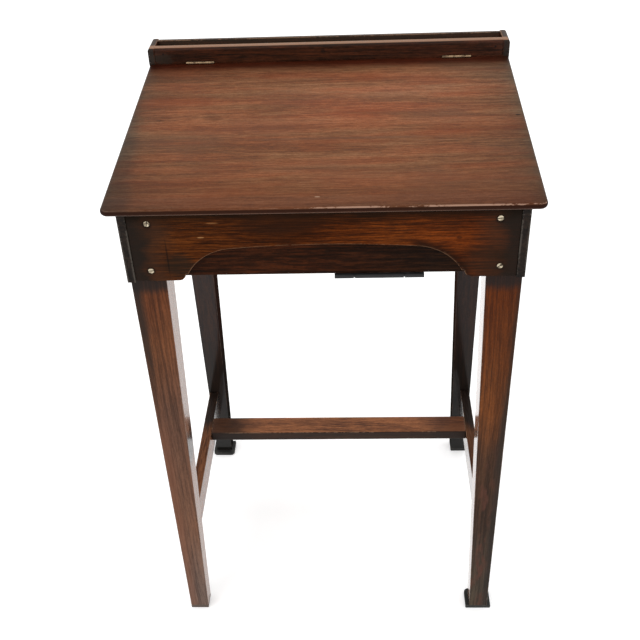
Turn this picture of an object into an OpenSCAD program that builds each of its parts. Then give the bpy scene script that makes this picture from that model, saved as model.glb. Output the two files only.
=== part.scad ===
// Small sloping school desk: a shallow box with a hinged lid and a pen tray behind it, carried on
// four tapered legs that are tied by an H of stretchers. X runs to the right, Y to the back and Z up.
// The origin is on the floor under the middle of the desk. All sizes are in millimetres.

/* [Lid and overall size] */
// Width of the lid and of the pen tray behind it
top_w = 485; // [440:1:620]
// Depth of the desk, from the front edge of the lid to the backs of the rear legs
desk_d = 384; // [350:1:480]
// Rise of the lid's top face from its front edge to the hinge line
lid_rise = 32; // [12:1:60]
// Thickness of the lid, whose front and side edges are full round
lid_t = 8.5; // [7:0.5:14]
// Radius of the lid's two front corners, seen from above
lid_corner_r = 9; // [7.5:0.5:24]
// How far the lid stands out past the side boards
side_overhang = 16.5; // [8:0.5:24]
// How far the lid stands out past the front ends of the side boards
front_overhang = 6; // [3:1:20]

/* [Box] */
// Clear height from the floor to the underside of the box
under_h = 613; // [500:1:700]
// Height of the front of the desk, from the underside of the box to the top of the lid
box_front = 97; // [88:1:140]
// Thickness of the side boards
side_t = 9.5; // [8:0.5:14]
// Thickness of the front board and the back board of the box
board_t = 10; // [8:0.5:16]
// Thickness of the bottom board
bottom_t = 6; // [4:0.5:10]

/* [Arched apron] */
// Thickness of the apron
apron_t = 12; // [9:0.5:18]
// How far the apron's face lies behind the ends of the side boards
apron_setback = 1; // [0:0.5:4]
// How far the apron's lower edge lies above the side boards' lower edges
apron_lift = 1; // [0:0.5:4]
// Distance from each front leg to the end of the arch
arch_in = 29; // [20:1:60]
// Height of the crown of the arch above the apron's lower edge
arch_rise = 45.5; // [32:0.5:60]
// Fall of the flat arc from the crown of the arch to its ends
crown_fall = 8.9; // [6:0.1:12]
// Radius of the two shoulder arcs
shoulder_r = 62; // [50:1:75]
// Height of the small step where the arch springs
nib_h = 8.5; // [4:0.5:12]
// Width of the flat of that step
nib_w = 3; // [1:0.5:6]

/* [Pen tray] */
// Depth of the pen tray, from the hinge line to the back
tray_d = 38; // [32:1:60]
// Height of the rails above the hinge line
tray_h = 22; // [16:1:36]
// Thickness of the tray's floor board
tray_floor_t = 8.5; // [7:0.5:14]
// Thickness of the front rail
front_rail_t = 10; // [8:0.5:14]
// Thickness of the back rail
back_rail_t = 8; // [6:0.5:12]
// Thickness of the end boards
end_t = 9; // [7:0.5:12]
// Radius of the rounded outer top edges of the rails and end boards
rail_r = 4; // [1:0.5:6]
// How far the end boards stand in front of the front rail
end_step = 0.8; // [0:0.1:1]

/* [Legs] */
// Width of the front legs at the box, across the desk
leg_w = 42; // [34:1:56]
// Width of the rear legs at the box, across the desk
rear_leg_w = 39.5; // [34:0.5:56]
// Depth of a leg at the box, from front to back
leg_d = 42; // [34:1:56]
// Width of a leg at the floor
foot_w = 26.5; // [20:0.5:34]
// Depth of a leg at the floor
foot_d = 24.5; // [20:0.5:34]
// Height of the foot pads
pad_h = 6; // [3:0.5:12]
// How far the two wide pads stand out past the foot at each side
pad_lip = 5.5; // [2:0.5:8]
// How far the two wide pads run on past the foot towards the middle of the desk
pad_run = 8; // [3:0.5:14]
// Depth of the tongues of the front and back boards in the legs
tongue_l = 6; // [4:0.5:12]
// Thickness of those tongues
tongue_t = 5; // [3:0.5:7]

/* [Stretchers] */
// Height of the top faces of all three stretchers
stretcher_h = 148; // [110:1:240]
// Thickness of the side stretchers, across the desk
side_stretcher_t = 15; // [12:0.5:18]
// Height of the side stretchers' section
side_stretcher_w = 41; // [30:1:56]
// How far the side stretchers lie in from the legs' outer faces
stretcher_inset = 2; // [1:0.5:6]
// Depth of the cross stretcher's section, from front to back
cross_w = 37; // [28:1:50]
// Thickness of the cross stretcher, from top to bottom
cross_t = 16; // [12:0.5:24]
// Distance from the cross stretcher's back face to the back of the desk
cross_back = 95; // [60:1:150]
// Length of the side stretchers' tenons in the legs
tenon_l = 14; // [8:1:18]
// Thickness of those tenons
tenon_t = 8; // [5:0.5:10]
// Shoulder above and below every stretcher tenon
tenon_shoulder = 4; // [2:0.5:5]
// Length of the cross stretcher's stub tenons in the side stretchers
stub_l = 8; // [5:0.5:10]

/* [Lid hinges] */
// Length of a lid hinge along the hinge line
hinge_l = 38; // [30:1:60]
// Distance from the lid's side edge to the middle of a lid hinge
hinge_in = 70; // [40:0.5:120]
// Radius of the hinge knuckles
knuckle_r = 2.25; // [2:0.05:3]
// Radius of the hinge pins
hinge_pin_r = 1; // [0.8:0.05:1.3]
// Thickness of the hinge leaves
leaf_t = 1; // [0.8:0.1:1.5]
// Width of the hinge leaves, from the pin's axis
leaf_w = 8; // [7:0.5:9]
// Height of the pin's axis above the hinge line
axis_rise = 1; // [0.5:0.1:1.5]
// Distance from the pin's axis to the front rail's face
axis_gap = 1.3; // [1:0.1:1.6]
// Gap between the lid's back edge and the tray
joint_gap = 0.5; // [0.3:0.1:0.8]

/* [Iron hinge under the box] */
// Distance from the front right leg to the end of the iron hinge
iron_in = 70.3; // [20:0.1:140]
// Radius of the iron hinge's knuckles
iron_r = 2.75; // [2.6:0.05:4]
// Radius of its pin
iron_pin_r = 1.3; // [1:0.1:1.6]
// Length of the middle knuckle
iron_mid_l = 56; // [30:1:70]
// Length of each end knuckle
iron_end_l = 22; // [12:1:30]
// Gap between neighbouring knuckles
iron_gap = 1.2; // [0.4:0.1:2]
// Width of the iron leaves, from the pin's axis
iron_leaf_w = 26; // [20:1:34]
// Thickness of the iron leaves
iron_leaf_t = 2; // [1.5:0.1:2.5]
// How far the iron hinge's pin lies in front of the front board's face
iron_proud = 0.9; // [0.5:0.1:3]

/* [Screws] */
// Diameter of the heads of the apron screws
apron_head_d = 6.6; // [5:0.1:9]
// Length of the apron screws
apron_screw_l = 28; // [20:1:34]
// Distance from the side boards' outer faces to the upper apron screws
upper_screw_in = 32.5; // [22:0.5:36]
// Distance from the side boards' outer faces to the lower apron screws
lower_screw_in = 29; // [22:0.5:36]
// Depth of the upper apron screws below the apron's top edge
upper_screw_z = 12.5; // [8:0.5:24]
// Height of the lower apron screws above the apron's lower edge
lower_screw_z = 14; // [8:0.5:24]
// Diameter of the heads of the small hinge screws
small_head_d = 3.6; // [3:0.1:4]
// Length of the small hinge screws
small_screw_l = 10; // [6:1:14]
// Diameter of the heads of the iron hinge's screws
iron_head_d = 5.6; // [4.5:0.1:6.5]
// Length of the iron hinge's screws
iron_screw_l = 7; // [5:0.5:7.5]

/* [Fits] */
// Gap under the closed lid and over the boards that it closes on
seat_gap = 0.3; // [0.2:0.1:1]
// Clearance round tenons, tongues and boards let in
fit_gap = 0.1; // [0.05:0.05:0.3]
// Radial clearance of a knuckle that turns on its pin
run_gap = 0.05; // [0.02:0.01:0.1]
// Clearance round a screw in wood or in a leaf
screw_gap = 0.05; // [0.02:0.01:0.1]

/* [Hidden] */
$fn = 64;

// Colours
oak = [0.36, 0.17, 0.09];
dark_oak = [0.22, 0.10, 0.06];
warm_oak = [0.50, 0.24, 0.11];
brass = [0.80, 0.66, 0.36];
iron = [0.09, 0.09, 0.09];
black_pad = [0.10, 0.09, 0.08];

// A little more than any cut needs
over = 1;

// Planes of the box, with y measured from the middle of the desk
front_y = -desk_d / 2;
back_y = desk_d / 2;
side_x = top_w / 2 - side_overhang;
side_in_x = side_x - side_t;
joint_y = back_y - tray_d;
front_h = under_h + box_front;
joint_h = front_h + lid_rise;
ends_y = front_y + front_overhang;
apron_y = ends_y + apron_setback;
leg_y = apron_y + apron_t;
leg_in_x = side_x - leg_w;
tray_top = joint_h + tray_h;
tray_under = joint_h - tray_floor_t;
tray_in_x = top_w / 2 - end_t;

// Slope of the lid, and the heights that follow from it
lid_run = joint_y - front_y;
slope = atan(lid_rise / lid_run);
lid_drop = lid_t / cos(slope);
function lid_top(y) = front_h + (y - front_y) * lid_rise / lid_run;
function seat(y) = lid_top(y) - lid_drop - seat_gap;
apron_top = seat(apron_y);
apron_bottom = under_h + apron_lift;

// Rounding of the lid's edges, and its length down the slope
edge_r = lid_t / 2;
lid_l = edge_r + (lid_run - edge_r + edge_r * sin(slope)) / cos(slope);

// Section of a leg at a height
function leg_w_at(z, w) = foot_w + (w - foot_w) * z / under_h;
function leg_d_at(z) = foot_d + (leg_d - foot_d) * z / under_h;

// Span and crown of the arch
arch_half = leg_in_x - arch_in;
crown_r = arch_half * arch_half / (2 * crown_fall);

// Places of the stretchers
stretcher_x = side_x - stretcher_inset;
stretcher_in_x = stretcher_x - side_stretcher_t;
side_stretcher_z = stretcher_h - side_stretcher_w;
tenon_reach = leg_d_at(stretcher_h - side_stretcher_w / 2) - tenon_l;
cross_y = back_y - cross_back - cross_w;
stub_t = cross_t - 2 * tenon_shoulder;

// Axis of the lid hinges, and the middles of the hinges along it
hinge_x = top_w / 2 - hinge_in;
axis_y = joint_y - axis_gap;
axis_z = joint_h + axis_rise;
knuckles = 5;
knuckle_l = hinge_l / knuckles;
knuckle_play = 0.2;
screws_per_leaf = 3;
leaf_screw_drop = leaf_w / 2 + 0.5;

// Axis of the iron hinge
iron_y = leg_y - iron_proud;
iron_z = under_h - iron_r - seat_gap;
iron_seat_z = under_h - iron_leaf_t;
iron_l = iron_mid_l + 2 * iron_end_l + 2 * iron_gap;
iron_x = leg_in_x - iron_in - iron_l / 2;
iron_screw_ins = [0.12, 0.38, 0.62, 0.88];
iron_screw_y = iron_y + iron_r + (iron_leaf_w - iron_r) / 2;

// Screw proportions, as shares of the head
head_cone = 0.42;
shank = 0.52;
slot_w = 0.16;
slot_deep = 0.2;

// A board between two corners
module board(a, b) {
  translate(a) cube(b - a);
}

// A flat shape in Y and Z, carried from x0 to x1
module across_x(x0, x1) {
  translate([x0, 0, 0]) rotate([90, 0, 90]) linear_extrude(height = x1 - x0) children();
}

// A flat shape in X and Z, carried from y0 to y1
module along_y(y0, y1) {
  translate([0, y1, 0]) rotate([90, 0, 0]) linear_extrude(height = y1 - y0) children();
}

module mirrored(side) {
  mirror([side < 0 ? 1 : 0, 0, 0]) children();
}

// Rectangle whose corners at the right are full round or rounded by r
module round_right(x0, y0, x1, y1, r) {
  difference() {
    translate([x0, y0]) square([x1 - x0, y1 - y0]);
    translate([x1 - r, y1 - r]) square(r + over);
    translate([x1 - r, y0 - over]) square([r + over, r + over]);
  }
  translate([x1 - r, y1 - r]) circle(r);
  translate([x1 - r, y0 + r]) circle(r);
}

// Rectangle with its upper right corner rounded by r
module round_top_right(x0, y0, x1, y1, r) {
  difference() {
    translate([x0, y0]) square([x1 - x0, y1 - y0]);
    translate([x1 - r, y1 - r]) square(r + over);
  }
  translate([x1 - r, y1 - r]) circle(r);
}

// Countersunk screw with its head's face at the origin and its point along -Z
module screw(head_d, l, gap = 0, slot = true) {
  r = head_d / 2;
  s = r * shank;
  cone = head_d * head_cone;
  tip = s * 2;
  difference() {
    rotate_extrude()
      polygon([[0, gap], [r + gap, gap], [r + gap, 0], [s + gap, -cone], [s + gap, tip - l],
        [gap, -l - gap], [0, -l - gap]]);
    if (slot)
      translate([-r - over, -r * slot_w, -r * slot_deep * 2])
        cube([2 * r + 2 * over, 2 * r * slot_w, r]);
  }
}

// The frame of the lid: origin on the hinge line, -Y down the slope, top face at z = 0
module on_lid() {
  translate([0, joint_y, joint_h]) rotate([slope, 0, 0]) children();
}

// Disc of radius r with a full round edge, as thick as the lid, its top face at z = 0
module round_disc(r) {
  rotate_extrude() intersection() {
    translate([0, -lid_t]) square([r, lid_t]);
    round_right(0, -lid_t, r, 0, edge_r);
  }
}

// Lid whose full round edge runs on round its front corners; it goes on past the hinge line
module lid_slab() {
  half = top_w / 2;
  corner_x = half - lid_corner_r;
  corner_y = lid_corner_r - lid_l;
  along_y(corner_y, lid_t) {
    round_right(0, -lid_t, half, 0, edge_r);
    mirror([1, 0]) round_right(0, -lid_t, half, 0, edge_r);
  }
  across_x(-corner_x, corner_x)
    mirror([1, 0]) round_right(-lid_t, -lid_t, lid_l, 0, edge_r);
  for (side = [-1, 1]) mirrored(side) translate([corner_x, corner_y, 0]) intersection() {
    round_disc(lid_corner_r);
    board([0, -lid_corner_r - over, -lid_t - over], [lid_corner_r + over, 0, over]);
  }
}

// Places of the screws along a lid hinge
function leaf_screw_x(i) = (i - (screws_per_leaf - 1) / 2) * hinge_l / screws_per_leaf;

// Cuts that seat the lid hinges: leaf recesses and a groove for the knuckles
module hinge_seats(leaf_y0, leaf_y1) {
  for (side = [-1, 1]) translate([side * hinge_x, 0, 0]) {
    board([-hinge_l / 2 - fit_gap, leaf_y0, axis_z - leaf_w - fit_gap],
      [hinge_l / 2 + fit_gap, leaf_y1, axis_z]);
    translate([-hinge_l / 2 - knuckle_play, axis_y, axis_z]) rotate([0, 90, 0])
      cylinder(r = knuckle_r + seat_gap, h = hinge_l + 2 * knuckle_play);
  }
}

module place_leaf_screws(dir) {
  y = dir < 0 ? joint_y - joint_gap : joint_y;
  for (side = [-1, 1], i = [0 : screws_per_leaf - 1])
    translate([side * hinge_x + leaf_screw_x(i), y, axis_z - leaf_screw_drop])
      rotate([dir < 0 ? -90 : 90, 0, 0]) children();
}

module lid() {
  color(oak) difference() {
    on_lid() lid_slab();
    // The back edge is planed upright, so that the joint is the same width all the way down
    board([-top_w, joint_y - joint_gap, joint_h - 3 * lid_t],
      [top_w, joint_y + 2 * lid_t, joint_h + 2 * lid_t]);
    hinge_seats(joint_y - joint_gap - leaf_t - fit_gap, joint_y + over);
    place_leaf_screws(-1) screw(small_head_d, small_screw_l, screw_gap, slot = false);
  }
}

// The room over everything that the closed lid seats on
module lid_room() {
  across_x(-top_w, top_w)
    polygon([[front_y, seat(front_y)], [joint_y, seat(joint_y)], [joint_y, tray_top],
      [front_y, tray_top]]);
}

// Side board, whose top edge follows the lid and then runs level under the tray
module side_board(side) {
  color(dark_oak) mirrored(side) difference() {
    board([side_in_x, ends_y, under_h], [side_x, back_y, tray_under]);
    lid_room();
  }
}

// Board between two legs of width w, with a tongue let into each
module leg_board(y0, w) {
  y_mid = y0 + board_t / 2;
  x = side_x - w;
  board([-x + fit_gap, y0, under_h], [x - fit_gap, y0 + board_t, tray_under]);
  board([-x - tongue_l, y_mid - tongue_t / 2, under_h + tenon_shoulder],
    [x + tongue_l, y_mid + tongue_t / 2, tray_under]);
}

module front_board() {
  color(dark_oak) difference() {
    leg_board(leg_y, leg_w);
    lid_room();
    apron_holes();
    place_iron_screws() screw(iron_head_d, iron_screw_l, screw_gap, slot = false);
  }
}

module back_board() {
  color(dark_oak) leg_board(back_y - board_t, rear_leg_w);
}

module bottom_board() {
  y0 = leg_y + board_t + fit_gap;
  y1 = back_y - board_t - fit_gap;
  x = side_in_x - fit_gap;
  color(dark_oak) difference() {
    board([-x, y0, under_h], [x, y1, under_h + bottom_t]);
    for (side = [-1, 1]) mirrored(side) {
      board([leg_in_x - fit_gap, y0 - over, under_h - over],
        [x + over, leg_y + leg_d + fit_gap, under_h + bottom_t + over]);
      board([side_x - rear_leg_w - fit_gap, back_y - leg_d - fit_gap, under_h - over],
        [x + over, y1 + over, under_h + bottom_t + over]);
    }
    place_iron_screws() screw(iron_head_d, iron_screw_l, screw_gap, slot = false);
  }
}

// Outline of the space under the arch, in X and Z from the middle of the apron's lower edge
module arch_space() {
  crown_z = arch_rise - crown_r;
  // Where a shoulder arc that springs from the step meets the crown arc smoothly
  reach = crown_r - shoulder_r;
  dx = arch_half;
  dz = nib_h - crown_z;
  far = sqrt(dx * dx + dz * dz);
  turn = acos((reach * reach + far * far - shoulder_r * shoulder_r) / (2 * reach * far));
  lean = atan(dx / dz) - turn;
  cx = reach * sin(lean);
  cz = crown_z + reach * cos(lean);
  intersection() {
    translate([0, crown_z]) circle(r = crown_r, $fn = 720);
    union() {
      meet_x = crown_r * sin(lean);
      translate([-meet_x, -over]) square([2 * meet_x, arch_rise + 2 * over]);
      translate([-arch_half, -over]) square([2 * arch_half, nib_h + over]);
      for (side = [-1, 1]) translate([side * cx, cz]) circle(r = shoulder_r, $fn = 180);
    }
  }
  // The rounded corner and the flat step under each end of the arch
  corner = nib_h;
  for (side = [-1, 1]) mirror([side < 0 ? 1 : 0, 0]) difference() {
    translate([arch_half - over, -over]) square([over + nib_w + corner, nib_h + over]);
    translate([arch_half + nib_w + corner, nib_h]) circle(r = corner, $fn = 96);
  }
}

module place_apron_screws() {
  for (side = [-1, 1]) {
    translate([side * (side_x - upper_screw_in), apron_y, apron_top - upper_screw_z]) children();
    translate([side * (side_x - lower_screw_in), apron_y, apron_bottom + lower_screw_z]) children();
  }
}

// Turns a screw's point to the back and its slot by a given angle
module point_back(turn = 0) {
  rotate([90, 0, 0]) rotate([0, 0, turn]) children();
}

module apron_holes() {
  place_apron_screws() point_back()
    screw(apron_head_d, apron_screw_l, screw_gap, slot = false);
}

module arched_apron() {
  x = side_in_x - fit_gap;
  color(warm_oak) difference() {
    along_y(apron_y, leg_y) difference() {
      translate([-x, apron_bottom]) square([2 * x, tray_under - apron_bottom]);
      translate([0, apron_bottom]) arch_space();
    }
    lid_room();
    apron_holes();
  }
}

module apron_screws() {
  color(brass) {
    translate([-(side_x - upper_screw_in), apron_y, apron_top - upper_screw_z])
      point_back(75) screw(apron_head_d, apron_screw_l);
    translate([side_x - upper_screw_in, apron_y, apron_top - upper_screw_z])
      point_back(8) screw(apron_head_d, apron_screw_l);
    translate([-(side_x - lower_screw_in), apron_y, apron_bottom + lower_screw_z])
      point_back(4) screw(apron_head_d, apron_screw_l);
    translate([side_x - lower_screw_in, apron_y, apron_bottom + lower_screw_z])
      point_back(38) screw(apron_head_d, apron_screw_l);
  }
}

// Leg with its outer corner at the origin: x runs in from the outer face and y towards the middle.
// Its two inner faces taper to the foot, and its post is cut back outside for the side board.
module leg_blank(w) {
  intersection() {
    along_y(0, leg_d)
      polygon([[0, pad_h], [leg_w_at(pad_h, w), pad_h], [w, under_h], [w, tray_under],
        [side_t, tray_under], [side_t, under_h], [0, under_h]]);
    across_x(-over, w + over)
      polygon([[0, pad_h], [leg_d_at(pad_h), pad_h], [leg_d, under_h], [leg_d, tray_under],
        [0, tray_under]]);
  }
}

module leg(w) {
  tongue_y = (board_t - tongue_t) / 2;
  tenon_x = stretcher_inset + (side_stretcher_t - tenon_t) / 2;
  difference() {
    leg_blank(w);
    board([w - tongue_l - fit_gap, tongue_y - fit_gap, under_h + tenon_shoulder - fit_gap],
      [w + over, tongue_y + tongue_t + fit_gap, tray_under + over]);
    board([tenon_x - fit_gap, tenon_reach - fit_gap, side_stretcher_z + tenon_shoulder - fit_gap],
      [tenon_x + tenon_t + fit_gap, leg_d + over, stretcher_h - tenon_shoulder + fit_gap]);
  }
}

module front_leg(side) {
  color(oak) difference() {
    mirrored(side) translate([side_x, leg_y, 0]) mirror([1, 0, 0]) leg(leg_w);
    lid_room();
    apron_holes();
  }
}

module rear_leg(side) {
  color(dark_oak) difference() {
    mirrored(side) translate([side_x, back_y, 0]) mirror([1, 0, 0]) mirror([0, 1, 0])
      leg(rear_leg_w);
    lid_room();
  }
}

// Pad with its outer corner at the origin: x runs in from the leg's outer face, y towards the middle
module pad(lip, run) {
  r = lip + 1;
  linear_extrude(height = pad_h) difference() {
    translate([-lip, 0]) square([foot_w + 2 * lip, foot_d + run]);
    for (side = [0, 1]) translate([side * foot_w, foot_d + run]) mirror([1 - side, 0])
      translate([lip - r, -r]) difference() {
        square(r + over);
        circle(r);
      }
  }
}

// One pad under each foot, as separate solids. The pads of one diagonal are wide ones, which level
// the desk; those of the other are flush with their feet.
module foot_pads() {
  color(black_pad) for (sx = [-1, 1], sy = [-1, 1])
    translate([sx * side_x, sy < 0 ? leg_y : back_y, 0])
      mirror([sx > 0 ? 1 : 0, 0, 0]) mirror([0, sy > 0 ? 1 : 0, 0])
        pad(sx * sy < 0 ? pad_lip : 0, sx * sy < 0 ? pad_run : 0);
}

// Side stretcher, with its shoulders cut to the legs' taper and a tenon at each end
module side_stretcher(side) {
  z0 = side_stretcher_z;
  z1 = stretcher_h;
  tenon_x = stretcher_in_x + (side_stretcher_t - tenon_t) / 2;
  color(oak) mirrored(side) difference() {
    union() {
      across_x(stretcher_in_x, stretcher_x)
        polygon([[leg_y + leg_d_at(z0) + fit_gap, z0], [back_y - leg_d_at(z0) - fit_gap, z0],
          [back_y - leg_d_at(z1) - fit_gap, z1], [leg_y + leg_d_at(z1) + fit_gap, z1]]);
      board([tenon_x, leg_y + tenon_reach, z0 + tenon_shoulder],
        [tenon_x + tenon_t, back_y - tenon_reach, z1 - tenon_shoulder]);
    }
    board([stretcher_in_x - over, cross_y + tenon_shoulder - fit_gap,
        stretcher_h - tenon_shoulder - stub_t - fit_gap],
      [stretcher_in_x + stub_l + fit_gap, cross_y + cross_w - tenon_shoulder + fit_gap,
        stretcher_h - tenon_shoulder + fit_gap]);
  }
}

module cross_stretcher() {
  x = stretcher_in_x - fit_gap;
  reach = stretcher_in_x + stub_l;
  color(warm_oak) {
    board([-x, cross_y, stretcher_h - cross_t], [x, cross_y + cross_w, stretcher_h]);
    board([-reach, cross_y + tenon_shoulder, stretcher_h - tenon_shoulder - stub_t],
      [reach, cross_y + cross_w - tenon_shoulder, stretcher_h - tenon_shoulder]);
  }
}

module tray_floor() {
  color(dark_oak) difference() {
    board([-top_w / 2, joint_y, tray_under], [top_w / 2, back_y, joint_h]);
    hinge_seats(joint_y - over, joint_y + leaf_t + fit_gap);
    place_leaf_screws(1) screw(small_head_d, small_screw_l, screw_gap, slot = false);
  }
}

module tray_front_rail() {
  x = tray_in_x - fit_gap;
  color(dark_oak) difference() {
    across_x(-x, x) mirror([1, 0])
      round_top_right(-joint_y - front_rail_t, joint_h, -joint_y, tray_top, rail_r);
    hinge_seats(joint_y - over, joint_y + leaf_t + fit_gap);
  }
}

module tray_back_rail() {
  x = tray_in_x - fit_gap;
  color(dark_oak) across_x(-x, x)
    round_top_right(back_y - back_rail_t, joint_h, back_y, tray_top, rail_r);
}

module tray_end(side) {
  y0 = joint_y - end_step;
  color(dark_oak) mirrored(side) intersection() {
    along_y(y0 - over, back_y + over)
      round_top_right(tray_in_x, joint_h, top_w / 2, tray_top, rail_r);
    across_x(tray_in_x - over, top_w / 2 + over) mirror([1, 0])
      round_top_right(-back_y, joint_h, -y0, tray_top, rail_r);
  }
}

// Knuckles i of a lid hinge: the even ones belong to the tray's leaf, the odd ones to the lid's
module lid_knuckles(odd, bore) {
  for (i = [odd : 2 : knuckles - 1]) {
    x0 = -hinge_l / 2 + i * knuckle_l + (i > 0 ? knuckle_play / 2 : 0);
    x1 = -hinge_l / 2 + (i + 1) * knuckle_l - (i < knuckles - 1 ? knuckle_play / 2 : 0);
    translate([x0, axis_y, axis_z]) rotate([0, 90, 0]) difference() {
      cylinder(r = knuckle_r, h = x1 - x0);
      translate([0, 0, -over]) cylinder(r = bore, h = x1 - x0 + 2 * over);
    }
  }
}

// Leaf plate, cut back where the other leaf's knuckles turn
module lid_leaf_plate(y0, other, bore) {
  difference() {
    board([-hinge_l / 2, y0, axis_z - leaf_w], [hinge_l / 2, y0 + leaf_t, axis_z]);
    translate([-hinge_l / 2 - over, axis_y, axis_z]) rotate([0, 90, 0])
      cylinder(r = bore, h = hinge_l + 2 * over);
    for (i = [other : 2 : knuckles - 1])
      translate([-hinge_l / 2 + i * knuckle_l - (i > 0 ? knuckle_play / 2 : over), axis_y, axis_z])
        rotate([0, 90, 0]) cylinder(r = knuckle_r + seat_gap,
          h = knuckle_l + (i > 0 ? knuckle_play / 2 : over) + (i < knuckles - 1 ? knuckle_play / 2 : over));
  }
}

module hinge_lid_leaf(side) {
  bore = hinge_pin_r + run_gap;
  color(brass) difference() {
    translate([side * hinge_x, 0, 0]) {
      lid_leaf_plate(joint_y - joint_gap - leaf_t, 0, bore);
      lid_knuckles(1, bore);
    }
    place_leaf_screws(-1) screw(small_head_d, small_screw_l, screw_gap, slot = false);
  }
}

module hinge_tray_leaf(side) {
  color(brass) difference() {
    translate([side * hinge_x, 0, 0]) {
      lid_leaf_plate(joint_y, 1, hinge_pin_r);
      lid_knuckles(0, hinge_pin_r);
    }
    place_leaf_screws(1) screw(small_head_d, small_screw_l, screw_gap, slot = false);
  }
}

module hinge_pin(side) {
  color(brass) translate([side * hinge_x - hinge_l / 2, axis_y, axis_z]) rotate([0, 90, 0])
    cylinder(r = hinge_pin_r, h = hinge_l);
}

module lid_leaf_screws() {
  color(brass) place_leaf_screws(-1) screw(small_head_d, small_screw_l);
}

module tray_leaf_screws() {
  color(brass) place_leaf_screws(1) screw(small_head_d, small_screw_l);
}

// Knuckle of the iron hinge from x0 to x1, measured from the middle of the hinge
module iron_knuckle(x0, x1, bore) {
  translate([iron_x + x0, iron_y, iron_z]) rotate([0, 90, 0]) difference() {
    cylinder(r = iron_r, h = x1 - x0);
    translate([0, 0, -over]) cylinder(r = bore, h = x1 - x0 + 2 * over);
  }
}

// Iron leaf behind the knuckles; up is 1 for the leaf on the box and -1 for the loose one. The one
// on the box starts further back, which lets the loose one swing up in front of it.
module iron_plate(up) {
  y0 = up > 0 ? iron_y + iron_r / 2 : iron_y;
  z0 = up > 0 ? iron_seat_z : iron_z - iron_r;
  board([iron_x - iron_l / 2, y0, z0],
    [iron_x + iron_l / 2, iron_y + iron_leaf_w, z0 + iron_leaf_t]);
}

module place_iron_screws() {
  for (s = iron_screw_ins)
    translate([iron_x + (s - 0.5) * iron_l, iron_screw_y, iron_seat_z])
      rotate([180, 0, 0]) children();
}

// Room for the other leaf's knuckles, cut in a plate
module iron_clear(x0, x1) {
  translate([iron_x + x0, iron_y, iron_z]) rotate([0, 90, 0])
    cylinder(r = iron_r + seat_gap, h = x1 - x0);
}

module iron_fixed_leaf() {
  mid = iron_mid_l / 2;
  color(iron) difference() {
    union() {
      iron_plate(1);
      for (side = [-1, 1]) {
        a = side * (mid + iron_gap);
        b = side * iron_l / 2;
        iron_knuckle(min(a, b), max(a, b), iron_pin_r);
      }
    }
    iron_clear(-mid - iron_gap, mid + iron_gap);
    translate([iron_x - iron_l / 2 - over, iron_y, iron_z]) rotate([0, 90, 0])
      cylinder(r = iron_pin_r, h = iron_l + 2 * over);
    place_iron_screws() screw(iron_head_d, iron_screw_l, screw_gap, slot = false);
  }
}

module iron_free_leaf() {
  mid = iron_mid_l / 2;
  bore = iron_pin_r + run_gap;
  hole_r = iron_head_d * shank / 2 + screw_gap;
  color(iron) difference() {
    union() {
      iron_plate(-1);
      iron_knuckle(-mid, mid, bore);
    }
    for (side = [-1, 1]) {
      a = side * mid;
      b = side * (iron_l / 2 + over);
      iron_clear(min(a, b), max(a, b));
    }
    translate([iron_x - iron_l / 2 - over, iron_y, iron_z]) rotate([0, 90, 0])
      cylinder(r = bore, h = iron_l + 2 * over);
    for (s = iron_screw_ins)
      translate([iron_x + (s - 0.5) * iron_l, iron_screw_y, iron_z - iron_r - over])
        cylinder(r = hole_r, h = iron_leaf_t + 2 * over);
  }
}

module iron_pin() {
  color(iron) translate([iron_x - iron_l / 2, iron_y, iron_z]) rotate([0, 90, 0])
    cylinder(r = iron_pin_r, h = iron_l);
}

module iron_screws() {
  color(iron) place_iron_screws() screw(iron_head_d, iron_screw_l);
}

lid();
front_board();
back_board();
bottom_board();
side_board(-1);  // left_side_board
side_board(1);  // right_side_board
arched_apron();
apron_screws();
front_leg(-1);  // front_left_leg
front_leg(1);  // front_right_leg
rear_leg(-1);  // rear_left_leg
rear_leg(1);  // rear_right_leg
foot_pads();
side_stretcher(-1);  // left_stretcher
side_stretcher(1);  // right_stretcher
cross_stretcher();
tray_floor();
tray_front_rail();
tray_back_rail();
tray_end(-1);  // tray_left_end
tray_end(1);  // tray_right_end
hinge_lid_leaf(-1);  // left_hinge_lid_leaf
hinge_lid_leaf(1);  // right_hinge_lid_leaf
hinge_tray_leaf(-1);  // left_hinge_tray_leaf
hinge_tray_leaf(1);  // right_hinge_tray_leaf
hinge_pin(-1);  // left_hinge_pin
hinge_pin(1);  // right_hinge_pin
lid_leaf_screws();
tray_leaf_screws();
iron_fixed_leaf();
iron_free_leaf();
iron_pin();
iron_screws();
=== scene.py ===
"""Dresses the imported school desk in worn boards, old polish, brass and iron, in a pale studio."""

import math
from functools import cache

import bmesh
import bpy
from bpy.props import FloatProperty, FloatVectorProperty, PointerProperty
from mathutils import Matrix, Vector, geometry, noise


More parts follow.
